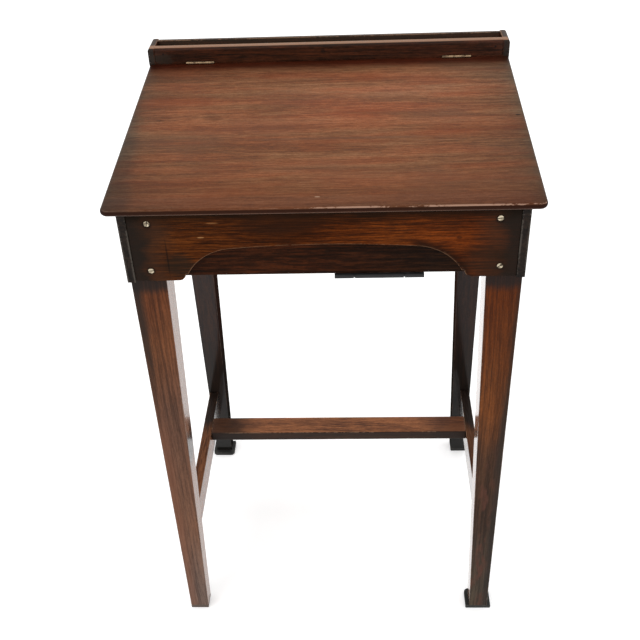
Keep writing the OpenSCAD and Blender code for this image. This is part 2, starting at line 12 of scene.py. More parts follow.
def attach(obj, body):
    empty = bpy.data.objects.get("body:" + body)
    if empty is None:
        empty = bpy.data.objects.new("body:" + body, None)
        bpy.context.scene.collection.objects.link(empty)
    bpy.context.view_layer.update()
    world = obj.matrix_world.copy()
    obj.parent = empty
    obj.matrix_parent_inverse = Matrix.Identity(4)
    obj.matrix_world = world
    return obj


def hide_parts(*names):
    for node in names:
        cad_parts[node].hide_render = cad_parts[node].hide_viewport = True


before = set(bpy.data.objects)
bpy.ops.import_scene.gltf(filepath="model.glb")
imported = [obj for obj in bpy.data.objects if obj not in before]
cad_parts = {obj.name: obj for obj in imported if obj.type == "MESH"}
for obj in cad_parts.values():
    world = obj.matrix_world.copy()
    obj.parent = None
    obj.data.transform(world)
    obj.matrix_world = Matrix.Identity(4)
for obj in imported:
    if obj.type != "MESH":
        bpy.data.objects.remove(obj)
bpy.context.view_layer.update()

bl_info = {
    "name": "School desk",
    "version": (1, 0, 0),
    "blender": (4, 5, 0),
    "location": "View3D > Sidebar > Desk",
    "description": "Worn boards, polish, brass, iron and the studio of a sloping school desk",
    "category": "Object",
}

# An arris is an edge that turns by more than this, and faces that turn by less are one flat
SHARP_ANGLE = math.radians(30)
FLAT_ANGLE = math.radians(0.6)

# Cuts at these depths inside each flat side keep the wear close to the arrises
INNER_CUTS = (0.0025, 0.006)

# Scales of the noise for hollows along worn arrises, broad ones and fine ones half as deep, and
# how much of it stays flat
BROAD_HOLLOWS = 38.0
FINE_HOLLOWS = 110.0
FLAT_SHARE = 0.1

# The lid's top face: its height on the middle line of the desk, and its rise towards the back
LID_LEVEL = 0.72776
LID_RISE = 0.09249

# Radius of the lid's front corners, seen from above
LID_CORNER = 0.009

# Front face of the apron, and the places of its screws seen from the front, on either side
APRON_FACE = -0.185
APRON_SCREWS = ((0.1935, 0.6884), (0.197, 0.628))

# How far a mark on the lid or the apron reaches into the board
MARK_DEPTH = 0.02

# Front faces of the tray's rail and of its end boards
RAIL_FACE = 0.154
TRAY_END_FACE = 0.1532

# The photograph's camera, found from the desk's own edges: its place, and its turn to the right,
# its tilt down and its roll in degrees
CAMERA_PLACE = (0.042466, -1.073101, 1.205415)
CAMERA_TURN = -3.201
CAMERA_TILT = 36.136
CAMERA_ROLL = -2.586

# Its lens and the width of its picture, in millimetres
LENS_LENGTH = 52.75
PICTURE_WIDTH = 36.0

# The point that the lamps face
LAMP_AIM = Vector((0.0, 0.0, 0.5))

# Light, middle and dark streaks of each wood
WOODS = {
    "lid": ((0.234, 0.095, 0.042), (0.172, 0.062, 0.025), (0.118, 0.041, 0.018)),
    "apron": ((0.168, 0.041, 0.006), (0.08, 0.018, 0.003), (0.028, 0.008, 0.0025)),
    "front legs": ((0.19, 0.119, 0.088), (0.132, 0.083, 0.062), (0.08, 0.05, 0.038)),
    # The rear legs' streaks are far darker than the front legs': painted shade from the box above
    # them.
    "rear legs": ((0.03, 0.013, 0.008), (0.019, 0.009, 0.007), (0.012, 0.007, 0.006)),
    "stretchers": ((0.34, 0.125, 0.047), (0.22, 0.077, 0.029), (0.085, 0.03, 0.014)),
    "pen tray": ((0.072, 0.019, 0.007), (0.04, 0.0115, 0.0045), (0.016, 0.006, 0.003)),
    "side boards": ((0.021, 0.013, 0.009), (0.011, 0.0075, 0.0056), (0.006, 0.0044, 0.0035)),
    # The inner boards' near-black streaks are partly their own dark wood and partly painted shade
    # inside the box.
    "inner boards": ((0.036, 0.011, 0.004), (0.016, 0.0055, 0.0025), (0.007, 0.003, 0.0015)),
}
TONES = ("light", "middle", "dark")


def colour(name, text, default):
    return FloatVectorProperty(name=name, description=text, subtype="COLOR", size=3,
                               min=0.0, max=1.0, default=default)


class DeskWear(bpy.types.PropertyGroup):
    """How much the desk has been used."""

    arris: FloatProperty(name="Arris", description="Radius worn on the boards' long edges",
                         default=0.0009, min=0.0002, max=0.002, unit="LENGTH")
    wear_reach: FloatProperty(name="Wear reach", description="How far wear runs in from an edge",
                              default=0.006, min=0.002, max=0.02, unit="LENGTH")
    unevenness: FloatProperty(name="Unevenness", description="Depth of the hollows along worn edges",
                              default=0.00025, min=0.0, max=0.001, unit="LENGTH")
    slice_length: FloatProperty(name="Slice length", description="Length between cuts along a board",
                                default=0.02, min=0.005, max=0.1, unit="LENGTH")


class DeskColours(bpy.types.PropertyGroup):
    """Colours of the polish, the metals and the pads."""

    bare_wood: colour("Bare wood", "Wood where the polish is worn away", (0.3, 0.175, 0.105))
    grime: colour("Grime", "Old dirt in the polish", (0.018, 0.013, 0.01))
    brass: colour("Screws", "Rubbed brass of the screws in the apron", (0.5, 0.43, 0.31))
    hinge_brass: colour("Hinges", "Dull brass of the lid hinges", (0.3, 0.205, 0.122))
    tarnish: colour("Tarnish", "Darkened brass", (0.08, 0.052, 0.034))
    iron: colour("Iron", "Blackened iron", (0.02, 0.02, 0.021))
    pad: colour("Pads", "Pads under the feet", (0.018, 0.018, 0.017))


def streak_key(wood_name, tone):
    return f"{wood_name}_{tone}".replace(" ", "_")


for wood_name, values in WOODS.items():
    for tone, value in zip(TONES, values):
        DeskColours.__annotations__[streak_key(wood_name, tone)] = colour(
            f"{wood_name.capitalize()}, {tone}", f"The {tone} streaks of the {wood_name}", value)


class DeskStage(bpy.types.PropertyGroup):
    """Lights and floor of the studio."""

    floor: colour("Floor", "Colour of the floor", (0.9, 0.9, 0.9))
    glow: FloatProperty(name="Floor light", description="Strength of the light from the floor",
                        default=0.34, min=0.0, max=2.0)
    dome: FloatProperty(name="Dome", description="Strength of the light from all round",
                        default=1.0, min=0.0, max=5.0)
    key: FloatProperty(name="Key", description="Power of the large light at the front left",
                       default=14.0, min=0.0, max=500.0, unit="POWER")
    top: FloatProperty(name="Top", description="Power of the light overhead",
                       default=8.0, min=0.0, max=500.0, unit="POWER")


# Node trees


class Wiring:
    """Adds nodes to a tree and joins them. Most calls give back the new node's output."""

    def __init__(self, tree):
        self.tree = tree
        self.count = 0

    def node(self, kind, inputs=None, **settings):
        made = self.tree.nodes.new(kind)
        made.location = (200 * (self.count // 3), -260 * (self.count % 3))
        self.count += 1
        for key, value in settings.items():
            setattr(made, key, value)
        for key, value in (inputs or {}).items():
            self.feed(value, made.inputs[key])
        return made

    def feed(self, value, socket):
        if isinstance(value, bpy.types.NodeSocket):
            self.tree.links.new(value, socket)
        else:
            socket.default_value = value

    def math(self, operation, a, b=0.0, c=0.0, clamp=False):
        made = self.node("ShaderNodeMath", {0: a, 1: b, 2: c}, operation=operation,
                         use_clamp=clamp)
        return made.outputs[0]

    def times(self, product, *factors):
        for factor in factors:
            product = self.math("MULTIPLY", product, factor)
        return product

    def plus(self, total, *values):
        for value in values:
            total = self.math("ADD", total, value)
        return total

    def minus(self, a, b):
        return self.math("SUBTRACT", a, b)

    def vector(self, operation, a, b=(0.0, 0.0, 0.0)):
        made = self.node("ShaderNodeVectorMath", {0: a, 1: b}, operation=operation)
        return made.outputs["Value" if operation == "LENGTH" else "Vector"]

    def stretched(self, vector, scale):
        return self.vector("MULTIPLY", vector, scale)

    def scaled(self, vector, scale):
        made = self.node("ShaderNodeVectorMath", {0: vector, "Scale": scale}, operation="SCALE")
        return made.outputs["Vector"]

    def noise(self, vector, scale=1.0, detail=2.0, roughness=0.5, out="Fac"):
        made = self.node("ShaderNodeTexNoise", {
            "Vector": vector, "Scale": scale, "Detail": detail, "Roughness": roughness})
        return made.outputs[out]

    def spread(self, value, low, high, to_low=0.0, to_high=1.0, smooth=True):
        made = self.node("ShaderNodeMapRange", {
            "Value": value, "From Min": low, "From Max": high, "To Min": to_low,
            "To Max": to_high}, interpolation_type="SMOOTHSTEP" if smooth else "LINEAR")
        return made.outputs["Result"]

    def mix(self, factor, a, b, blend="MIX"):
        made = self.node("ShaderNodeMix", {0: factor, 6: a, 7: b}, data_type="RGBA",
                         blend_type=blend, clamp_factor=True)
        return made.outputs[2]

    def ramp(self, value, stops):
        made = self.node("ShaderNodeValToRGB", {"Fac": value})
        elements = made.color_ramp.elements
        while len(elements) < len(stops):
            elements.new(0.5)
        for element, (place, rgb) in zip(elements, stops):
            element.position = place
            element.color = (*rgb, 1.0)
        return made.outputs["Color"]

    def axes(self, vector, wanted="XYZ"):
        made = self.node("ShaderNodeSeparateXYZ", {0: vector})
        return [made.outputs[axis] for axis in wanted]

    def axis(self, vector, wanted):
        return self.axes(vector, wanted)[0]

    def bump(self, height, strength, distance):
        made = self.node("ShaderNodeBump", {"Strength": strength, "Distance": distance,
                                            "Height": height})
        return made.outputs["Normal"]

    def use(self, group, inputs):
        made = self.node("ShaderNodeGroup", node_tree=group)
        for key, value in inputs.items():
            self.feed(value, made.inputs[key])
        return made.outputs


def group(name, inputs, outputs):
    """A shader node group with those sockets, and the wiring, inputs and output node inside it.
    Its makers below keep what they make, so each group is made once."""
    tree = bpy.data.node_groups.new(name, "ShaderNodeTree")
    for label, kind, value in inputs:
        socket = tree.interface.new_socket(label, in_out="INPUT", socket_type=kind)
        if value is not None:
            socket.default_value = value
    for label, kind in outputs:
        tree.interface.new_socket(label, in_out="OUTPUT", socket_type=kind)
    wires = Wiring(tree)
    start = wires.node("NodeGroupInput").outputs
    end = wires.node("NodeGroupOutput").inputs
    return tree, wires, start, end


FLOAT = "NodeSocketFloat"
VECTOR = "NodeSocketVector"


@cache
def grain_group():
    """Wood grain that runs along X: growth rings, fibres, streaks, broad bands and open pores."""
    tree, w, start, end = group("Wood grain", [
        ("Vector", VECTOR, None), ("Ring spacing", FLOAT, 0.006), ("Fibre", FLOAT, 1.0),
        ("Sway", FLOAT, 0.03)],
        [("Rings", FLOAT), ("Fibres", FLOAT), ("Streaks", FLOAT), ("Bands", FLOAT),
         ("Pores", FLOAT), ("Height", FLOAT)])
    place = start["Vector"]
    drift = w.noise(w.stretched(place, (2.2, 9.0, 9.0)), out="Color")
    drift = w.vector("SUBTRACT", drift, (0.5, 0.5, 0.5))
    drift = w.scaled(w.stretched(drift, (0.0, 1.0, 1.0)), start["Sway"])
    bent = w.vector("ADD", place, drift)
    x, y, z = w.axes(bent)
    deep = w.plus(z, w.times(x, 0.035), 0.045)
    far = w.math("SQRT", w.plus(w.times(y, y), w.times(deep, deep)))
    ring = w.math("FRACT", w.math("DIVIDE", far, start["Ring spacing"]))
    rise = w.math("POWER", ring, 2.0)
    w.feed(w.times(rise, w.spread(ring, 0.88, 1.0, 1.0, 0.0)), end["Rings"])
    fine = w.scaled(w.stretched(bent, (55.0, 600.0, 600.0)), start["Fibre"])
    fibres = w.noise(fine, detail=4.0, roughness=0.65)
    w.feed(w.spread(fibres, 0.35, 0.65), end["Fibres"])
    long = w.scaled(w.stretched(bent, (8.0, 330.0, 330.0)), start["Fibre"])
    w.feed(w.spread(w.noise(long, detail=4.0, roughness=0.6), 0.33, 0.67), end["Streaks"])
    wide = w.noise(w.stretched(bent, (2.6, 55.0, 55.0)), detail=3.0, roughness=0.55)
    w.feed(w.spread(wide, 0.32, 0.68), end["Bands"])
    slots = w.noise(w.stretched(place, (95.0, 1700.0, 1700.0)), detail=1.0)
    pores = w.spread(slots, 0.62, 0.72)
    w.feed(pores, end["Pores"])
    height = w.minus(w.times(fibres, 0.6), w.times(pores, 0.5))
    w.feed(height, end["Height"])
    return tree


@cache
def wear_group():
    """A rubbed line along the arrises, thin, and missing in places."""
    tree, w, start, end = group("Edge wear", [
        ("Vector", VECTOR, None), ("Width", FLOAT, 0.001), ("Gaps", FLOAT, 0.45),
        ("Reach", FLOAT, 0.006)], [("Mask", FLOAT)])
    near = w.node("ShaderNodeAttribute", attribute_name="arris",
                  attribute_type="GEOMETRY").outputs["Fac"]
    distance = w.times(w.minus(1.0, near), start["Reach"])
    broken = w.noise(w.stretched(start["Vector"], (150.0, 400.0, 400.0)), detail=4.0,
                     roughness=0.7)
    patch = w.noise(w.stretched(start["Vector"], (14.0, 30.0, 30.0)))
    patch = w.plus(patch, w.times(w.minus(broken, 0.5), 1.1))
    there = w.spread(patch, w.minus(start["Gaps"], 0.1), w.plus(start["Gaps"], 0.1))
    line = w.times(start["Width"], there, w.plus(broken, 0.5))
    outer = w.plus(w.times(line, 1.25), 0.0001)
    edge = w.spread(distance, w.times(line, 0.5), outer, 1.0, 0.0)
    w.feed(w.times(edge, there), end["Mask"])
    return tree


@cache
def dirt_group():
    """Cloudy dirt and dull patches, larger than the grain."""
    tree, w, start, end = group("Old dirt", [
        ("Vector", VECTOR, None), ("Size", FLOAT, 0.05), ("Amount", FLOAT, 0.5)],
        [("Mask", FLOAT), ("Specks", FLOAT)])
    scale = w.math("DIVIDE", 1.0, start["Size"])
    cloud = w.noise(start["Vector"], scale=scale, detail=5.0, roughness=0.6)
    low = w.minus(0.78, w.times(start["Amount"], 0.4))
    high = w.plus(low, 0.25)
    w.feed(w.spread(cloud, low, high), end["Mask"])
    speck = w.noise(start["Vector"], scale=520.0, detail=1.0)
    w.feed(w.spread(speck, 0.7, 0.76), end["Specks"])
    return tree


@cache
def mark_group():
    """One soft stain or rub around a place, with a ragged edge."""
    tree, w, start, end = group("Mark", [
        ("Vector", VECTOR, None), ("Place", VECTOR, None), ("Reach", VECTOR, (0.01, 0.01, 0.01)),
        ("Ragged", FLOAT, 0.0)], [("Mask", FLOAT)])
    offset = w.vector("SUBTRACT", start["Vector"], start["Place"])
    far = w.vector("LENGTH", w.vector("DIVIDE", offset, start["Reach"]))
    w.feed(w.spread(w.plus(far, start["Ragged"]), 0.5, 1.1, 1.0, 0.0), end["Mask"])
    return tree


def new_material(name):
    material = bpy.data.materials.new(name)
    material.use_nodes = True
    material.node_tree.nodes.clear()
    w = Wiring(material.node_tree)
    place = w.node("ShaderNodeTexCoord").outputs["Object"]
    return material, w, place


def finish_material(w, base, roughness, normal=None, **more):
    """Joins the shader up. More names its other inputs, with _ for a space."""
    inputs = {"Base Color": base, "Roughness": roughness}
    if normal:
        inputs["Normal"] = normal
    inputs.update({key.replace("_", " "): value for key, value in more.items()})
    shader = w.node("ShaderNodeBsdfPrincipled", inputs)
    w.node("ShaderNodeOutputMaterial", {"Surface": shader.outputs["BSDF"]})


def along(w, place, axis):
    """The place with its grain direction turned onto X."""
    turned = w.axes(place, {"X": "XYZ", "Y": "YZX", "Z": "ZXY"}[axis])
    return w.node("ShaderNodeCombineXYZ", dict(enumerate(turned))).outputs[0]


def ragged_edge(w, place, scale, depth):
    """Noise about nought, for the edges of stains; depth is its full swing."""
    value = w.noise(w.stretched(place, scale), detail=4.0, roughness=0.6)
    return w.times(w.minus(value, 0.5), depth)


def stain(w, now, mask, tint, strength):
    """Lays a tint over the colour where the mask is."""
    return w.mix(w.times(mask, strength), now, (*tint, 1.0))


def mark(w, place, now, rough, at, reach, tint, strength):
    """Lays one stain or rub over the colour."""
    mask = w.use(mark_group(), {"Vector": place, "Place": at, "Reach": reach,
                                "Ragged": rough})["Mask"]
    return stain(w, now, mask, tint, strength)


def shade(w, now, mask, tint):
    """Multiplies the colour by a tint where the mask is, so that the grain still shows."""
    return w.mix(mask, now, (*tint, 1.0), "MULTIPLY")


def toned(w, now, tone):
    """Multiplies the colour by one that changes over the surface."""
    return w.mix(1.0, now, tone, "MULTIPLY")


def rub_line(w, run, width, gaps):
    """Mask of the thin rubbed line along the arrises. Run is the place along the grain."""
    reach = bpy.context.scene.desk_wear.wear_reach
    return w.use(wear_group(), {"Vector": run, "Width": width, "Gaps": gaps,
                                "Reach": reach})["Mask"]


def wood(kind, name, axis, shares=(0.3, 0.3, 0.25, 0.15), spacing=0.008, sway=0.03, fibre=1.0,
         length=1.0, gloss=0.4, specular=0.1, worn=0.001, gaps=0.45, dirt=0.4, tint=None,
         bare=None, polish=None):
    """Polished wood of one of the kinds in WOODS. Shares say how much fibres, streaks, bands and
    rings count. Length draws the grain out. Worn is the width of the rubbed line on the arrises,
    and bare its colour. Tint changes the colour by place, and polish adds a coat."""
    colours = bpy.context.scene.desk_colours
    material, w, place = new_material(name)
    run = along(w, place, axis)
    drawn_out = w.stretched(run, (1.0 / length, 1.0, 1.0))
    grain = w.use(grain_group(), {"Vector": drawn_out, "Ring spacing": spacing, "Fibre": fibre,
                                  "Sway": sway})
    tone = w.times(w.minus(1.0, grain["Rings"]), shares[3])
    for output, share in zip(("Fibres", "Streaks", "Bands"), shares):
        tone = w.plus(tone, w.times(grain[output], share))
    stops = [getattr(colours, streak_key(kind, each)) for each in TONES]
    now = w.ramp(tone, list(zip((0.28, 0.52, 0.78), reversed(stops))))
    flecks = w.noise(w.stretched(run, (260.0, 620.0, 620.0)), detail=3.0, roughness=0.7)
    now = toned(w, now, w.spread(flecks, 0.3, 0.7, 0.8, 1.2, smooth=False))
    now = stain(w, now, grain["Pores"], colours.grime, 0.45)
    if tint:
        now = tint(w, place, now)
    soil = w.use(dirt_group(), {"Vector": place, "Size": 0.07, "Amount": dirt})
    now = stain(w, now, soil["Mask"], colours.grime, 0.4)
    now = stain(w, now, soil["Specks"], colours.grime, 0.3)
    rub = rub_line(w, run, worn, gaps)
    now = stain(w, now, rub, bare or colours.bare_wood, 0.6)
    rough = w.plus(w.times(grain["Fibres"], 0.1), w.times(soil["Mask"], 0.15),
                   w.times(rub, 0.12))
    rough = w.math("ADD", rough, gloss, clamp=True)
    normal = w.bump(grain["Height"], 0.25, 0.0006)
    coat = polish(w, place) if polish else 0.0
    finish_material(w, now, rough, normal, Specular_IOR_Level=specular, Coat_Weight=coat,
                    Coat_Roughness=0.12)
    return material


def by_half(w, place, left, right):
    """One value on the left half of the desk and another on the right half."""
    return w.spread(w.axis(place, "X"), -0.01, 0.01, left, right)


def inward(w, place):
    """1 on faces that look to the middle of the desk from the left or right, 0 on the others."""
    normal = w.node("ShaderNodeNewGeometry").outputs["True Normal"]
    side = w.math("SIGN", w.axis(place, "X"))
    return w.spread(w.times(w.axis(normal, "X"), side, -1.0), 0.75, 0.95)


def inner_coat(w, place):
    """Coat of the faces that look to the middle, thicker on the right half of the desk."""
    return w.times(inward(w, place), by_half(w, place, 0.4, 1.0))


def other_coat(w, place):
    """Coat of all faces but those that look to the middle, thinner on the right half."""
    return w.times(w.minus(1.0, inward(w, place)), by_half(w, place, 0.45, 0.34))


# Worn copies of the boards


def long_enough(edge, least=0.01):
    return edge.calc_length() > least


def flat_sides(bm, least_area):
    """Planes of the board's large flat faces, as a point and its outward normal."""
    planes = []
    for face in sorted(bm.faces, key=lambda f: -f.calc_area()):
        if face.calc_area() < least_area:
            break
        centre, normal = face.calc_center_median(), face.normal.copy()
        same = any(normal.dot(n) > 0.999 and abs((centre - c).dot(n)) < 0.0005
                   for c, n in planes)
        if not same:
            planes.append((centre, normal))
    return planes


def slice_at(bm, point, normal):
    bmesh.ops.bisect_plane(bm, geom=bm.verts[:] + bm.edges[:] + bm.faces[:], dist=1e-6,
                           plane_co=point, plane_no=normal)


def nearest(point, lines):
    """Distance from a point to the nearest of some straight lines between two ends."""
    least = 1.0
    for a, b in lines:
        foot, share = geometry.intersect_point_line(point, a, b)
        if share < 0.0:
            foot = a
        elif share > 1.0:
            foot = b
        least = min(least, (foot - point).length)
    return least


def worn_copy(node, grain, body="desk", choose=long_enough, shows=long_enough,
              least_area=2e-4, rounder=1.0):
    """Copy of a board, in place of its CAD node, with the chosen arrises worn round and rubbed
    where shows says so. Rounder is how many times the usual radius they are worn to."""
    wear = bpy.context.scene.desk_wear
    arris = wear.arris * rounder
    bm = bmesh.new()
    bm.from_mesh(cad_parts[node].data)
    bmesh.ops.remove_doubles(bm, verts=bm.verts, dist=1e-5)
    bmesh.ops.dissolve_limit(bm, angle_limit=FLAT_ANGLE, verts=bm.verts, edges=bm.edges)
    sharp = [e for e in bm.edges if len(e.link_faces) == 2
             and e.calc_face_angle_signed(0.0) > SHARP_ANGLE and choose(e)]
    lines = [(e.verts[0].co.copy(), e.verts[1].co.copy()) for e in sharp]
    rubbed = [(e.verts[0].co.copy(), e.verts[1].co.copy()) for e in sharp if shows(e)]
    planes = flat_sides(bm, least_area)
    if sharp:
        bmesh.ops.bevel(bm, geom=sharp, offset=arris, offset_type="OFFSET", segments=3,
                        profile=0.5, affect="EDGES", clamp_overlap=True, material=-1)
    for centre, normal in planes:
        for depth in INNER_CUTS:
            slice_at(bm, centre - normal * depth, normal)
    direction = Vector({"X": (1, 0, 0), "Y": (0, 1, 0), "Z": (0, 0, 1)}[grain])
    spots = [v.co.dot(direction) for v in bm.verts]
    first, last = min(spots), max(spots)
    count = int((last - first) / wear.slice_length)
    for i in range(1, count):
        slice_at(bm, direction * (first + (last - first) * i / count), direction)
    layer = bm.verts.layers.float.new("arris")
    middle = sum((v.co for v in bm.verts), Vector()) / len(bm.verts)
    for v in bm.verts:
        v[layer] = max(0.0, 1.0 - nearest(v.co, rubbed) / wear.wear_reach)
        if nearest(v.co, lines) < arris * 1.5:
            dip = noise.noise(v.co * BROAD_HOLLOWS) + 0.5 * noise.noise(v.co * FINE_HOLLOWS)
            dip = max(0.0, dip - FLAT_SHARE)
            push = middle - v.co
            push -= direction * push.dot(direction)
            if push.length > 0.0:
                v.co += push.normalized() * dip * wear.unevenness
    for face in bm.faces:
        face.smooth = True
    for e in bm.edges:
        e.smooth = len(e.link_faces) == 2 and e.calc_face_angle(0.0) < SHARP_ANGLE
    mesh = bpy.data.meshes.new(f"{node}_worn")
    bm.to_mesh(mesh)
    bm.free()
    piece = bpy.data.objects.new(f"{node}_worn", mesh)
    bpy.context.scene.collection.objects.link(piece)
    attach(piece, body)
    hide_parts(node)
    return piece


def dress(thing, material):
    """Gives a piece, or a CAD node by name, its material."""
    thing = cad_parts[thing] if isinstance(thing, str) else thing
    thing.data.materials.clear()
    thing.data.materials.append(material)


# Colour changes by place


def past(w, value, low, high):
    """0 up to low and 1 from high on."""
    return w.spread(value, low, high)


def until(w, value, low, high):
    """1 up to low and 0 from high on."""
    return w.spread(value, low, high, 1.0, 0.0)


def between(w, value, low, full, fading, high):
    """0 up to low, 1 from full to fading, and 0 from high on."""
    return w.times(past(w, value, low, full), until(w, value, fading, high))


def tone_across(w, place, now, stops):
    """Multiplies the colour by tones from 250 mm left of the middle, at 0, to 250 mm right."""
    share = w.spread(w.axis(place, "X"), -0.25, 0.25, smooth=False)
    return toned(w, now, w.ramp(share, stops))


def on_lid(x, y):
    """A point of the lid's top face."""
    return (x, y, LID_LEVEL + LID_RISE * y)


def lid_tint(w, place, now):
    """Colours of the lid: streaks, a broad painted reflection, painted shade at the back left
    and along the back, margins, marks and its edge.
    """
    x, y = w.axes(place, "XY")
    cloud = w.noise(w.stretched(place, (5.0, 11.0, 11.0)), detail=3.0)
    now = stain(w, now, past(w, cloud, 0.5, 0.66), (0.12, 0.052, 0.028), 0.4)
    now = stain(w, now, until(w, cloud, 0.36, 0.48), (0.15, 0.036, 0.012), 0.4)
    hue = w.noise(w.stretched(place, (6.0, 42.0, 42.0)), detail=4.0, roughness=0.6)
    hue = w.mix(past(w, hue, 0.38, 0.62), (1.09, 0.99, 0.98, 1.0), (0.91, 1.02, 1.08, 1.0))
    now = toned(w, now, hue)
    loose = ragged_edge(w, place, (6.0, 9.0, 9.0), 0.1)
    now = stain(w, now, past(w, w.minus(loose, y), 0.06, 0.19), (0.125, 0.034, 0.01), 0.35)
    ragged = ragged_edge(w, place, (30.0, 90.0, 90.0), 0.008)
    front = past(w, w.minus(ragged, y), 0.163, 0.173)
    now = shade(w, now, front, (0.76, 0.84, 0.95))
    wide = w.plus(w.math("ABSOLUTE", x), ragged)
    now = toned(w, now, w.ramp(w.spread(wide, 0.18, 0.2425, smooth=False), [
        (0.0, (1.0, 1.0, 1.0)), (0.36, (0.9, 0.92, 0.94)), (0.68, (0.8, 0.86, 0.92)),
        (0.86, (0.67, 0.81, 0.92)), (0.96, (0.56, 0.8, 1.02))]))
    # A paler patch behind the middle and a cooler tint to the back right: painted reflection of the
    # room in the polish.
    off_centre = w.math("ABSOLUTE", w.minus(x, 0.075))
    pale = w.times(between(w, y, -0.03, 0.02, 0.06, 0.12), until(w, off_centre, 0.05, 0.16))
    now = shade(w, now, pale, (1.24, 1.2, 1.25))
    cool = w.times(past(w, y, 0.03, 0.09), past(w, x, 0.04, 0.14))
    now = shade(w, now, cool, (1.03, 1.12, 1.22))
    # A darker patch at the back left: painted shade.
    dull = w.times(past(w, y, 0.085, 0.12), until(w, x, -0.02, 0.07))
    now = shade(w, now, dull, (0.82, 0.78, 0.77))
    ends = w.times(past(w, wide, 0.08, 0.2), until(w, y, -0.16, -0.05))
    now = shade(w, now, ends, (0.86, 0.83, 0.84))
    leaning = w.math("MULTIPLY_ADD", y, -0.13, w.minus(ragged, x))
    corner = past(w, w.plus(leaning, w.times(loose, 0.2)), 0.224, 0.242)
    now = shade(w, now, corner, (0.74, 0.86, 1.0))
    # A dark band along the back, where the lid meets the tray's rail: painted shade.
    back = past(w, w.plus(y, ragged), 0.118, 0.146)
    now = shade(w, now, back, (0.26, 0.14, 0.12))
    return lid_edge(w, place, lid_marks(w, place, now))


def lid_marks(w, place, now):
    """Small stains, scratches and chips in the lid's top face."""
    rough = ragged_edge(w, place, (120.0, 380.0, 380.0), 0.5)
    marks = {
        "smudge": ((-0.1395, 0.005), (0.014, 0.009), (0.055, 0.019, 0.009), 0.3),
        "dash": ((-0.204, 0.0005), (0.007, 0.0016), (0.03, 0.012, 0.006), 0.7),
        "grey band": ((0.0195, -0.049), (0.15, 0.0035), (0.095, 0.046, 0.028), 0.4),
        "dark streak": ((0.174, -0.1055), (0.046, 0.0018), (0.055, 0.02, 0.01), 0.5),
        "light streak": ((0.1345, -0.0575), (0.035, 0.0014), (0.24, 0.11, 0.055), 0.4),
        "nick": ((0.234, -0.003), (0.0035, 0.0022), (0.015, 0.008, 0.005), 0.8),
        "chip": ((-0.005, -0.171), (0.0035, 0.0013), (0.45, 0.3, 0.2), 0.5),
    }
    for spot, reach, tint, strength in marks.values():
        now = mark(w, place, now, rough, on_lid(*spot), (*reach, MARK_DEPTH), tint, strength)
    return now


def lid_edge(w, place, now):
    """Bands of painted light round the lid's rounded edge, by their depth below its top face:
    painted shade on the round and under it, a painted reflection of the floor along the front,
    and a painted dark rim.
    """
    x, y, z = w.axes(place)
    depth = w.minus(w.math("MULTIPLY_ADD", y, LID_RISE, LID_LEVEL), z)
    # Painted shade across the middle of the round.
    band = between(w, depth, 0.0009, 0.0022, 0.0052, 0.0064)
    now = stain(w, now, band, (0.018, 0.005, 0.002), 0.95)
    # A light line low on the round, at the front only: painted reflection of the floor.
    line = between(w, depth, 0.0056, 0.0066, 0.0076, 0.0083)
    line = w.times(line, until(w, y, -0.186, -0.182))
    now = stain(w, now, line, (0.085, 0.065, 0.055), 0.7)
    # Darker under the round: painted shade.
    under = past(w, depth, 0.0079, 0.0084)
    now = stain(w, now, under, (0.05, 0.026, 0.014), 0.45)
    # A near-black rim under the round, along the front and the sides: painted shade.
    sides = past(w, w.math("ABSOLUTE", x), 0.237, 0.239)
    rim = w.times(under, w.math("MAXIMUM", until(w, y, -0.188, -0.184), sides))
    return stain(w, now, rim, (0.012, 0.005, 0.002), 0.85)


def apron_tint(w, place, now):
    """Smoky patches, black ends, a painted shadow along the top under the lid, a burn and small
    marks of the apron, and rings round its screws."""
    x, z = w.axes(place, "XZ")
    smoke = w.noise(w.stretched(place, (8.0, 20.0, 24.0)), detail=4.0, roughness=0.6)
    now = stain(w, now, past(w, smoke, 0.48, 0.66), (0.018, 0.007, 0.003), 0.5)
    now = tone_across(w, place, now, [
        (0.1, (0.66, 0.74, 0.85)), (0.45, (0.47, 0.43, 0.36)), (0.66, (0.92, 0.86, 0.78)),
        (0.85, (1.05, 0.86, 0.79))])
    ragged = ragged_edge(w, place, (20.0, 60.0, 40.0), 0.045)
    wide = w.plus(w.math("ABSOLUTE", x), ragged)
    now = stain(w, now, past(w, wide, 0.16, 0.192), (0.034, 0.016, 0.009), 0.65)
    now = stain(w, now, past(w, wide, 0.188, 0.208), (0.012, 0.009, 0.007), 0.9)
    # Near black along the top, under the lid's overhang: painted shadow.
    top = past(w, w.plus(z, w.times(ragged, 0.35)), 0.684, 0.7)
    now = stain(w, now, top, (0.007, 0.004, 0.002), 0.85)
    rough = ragged_edge(w, place, (120.0, 120.0, 380.0), 0.5)
    now = stain(w, now, burn(w, x, z, ragged), (0.01, 0.004, 0.002), 0.88)
    soot = (0.006, 0.004, 0.003)
    marks = {
        "knot": ((0.15, 0.666), (0.004, 0.0026), soot, 0.55),
        "dull corner": ((-0.163, 0.634), (0.02, 0.02), (0.016, 0.01, 0.006), 0.7),
        "dull end": ((0.181, 0.634), (0.03, 0.028), (0.018, 0.009, 0.005), 0.7),
        "dark middle": ((-0.05, 0.686), (0.06, 0.016), (0.02, 0.007, 0.003), 0.6),
        "split": ((-0.176, 0.6445), (0.0012, 0.028), soot, 0.6),
        "long scratch": ((-0.121, 0.689), (0.008, 0.0009), (0.35, 0.16, 0.06), 0.35),
        "short scratch": ((-0.1355, 0.671), (0.0045, 0.0009), (0.42, 0.22, 0.09), 0.5),
    }
    ring = 0.0062
    rings = [((side * screw_x, screw_z), (ring, ring), soot, 0.8)
             for screw_x, screw_z in APRON_SCREWS for side in (1, -1)]
    for (left, up), (width, height), tint, strength in (*rings, *marks.values()):
        now = mark(w, place, now, rough, (left, APRON_FACE, up), (width, MARK_DEPTH, height),
                   tint, strength)
    return now


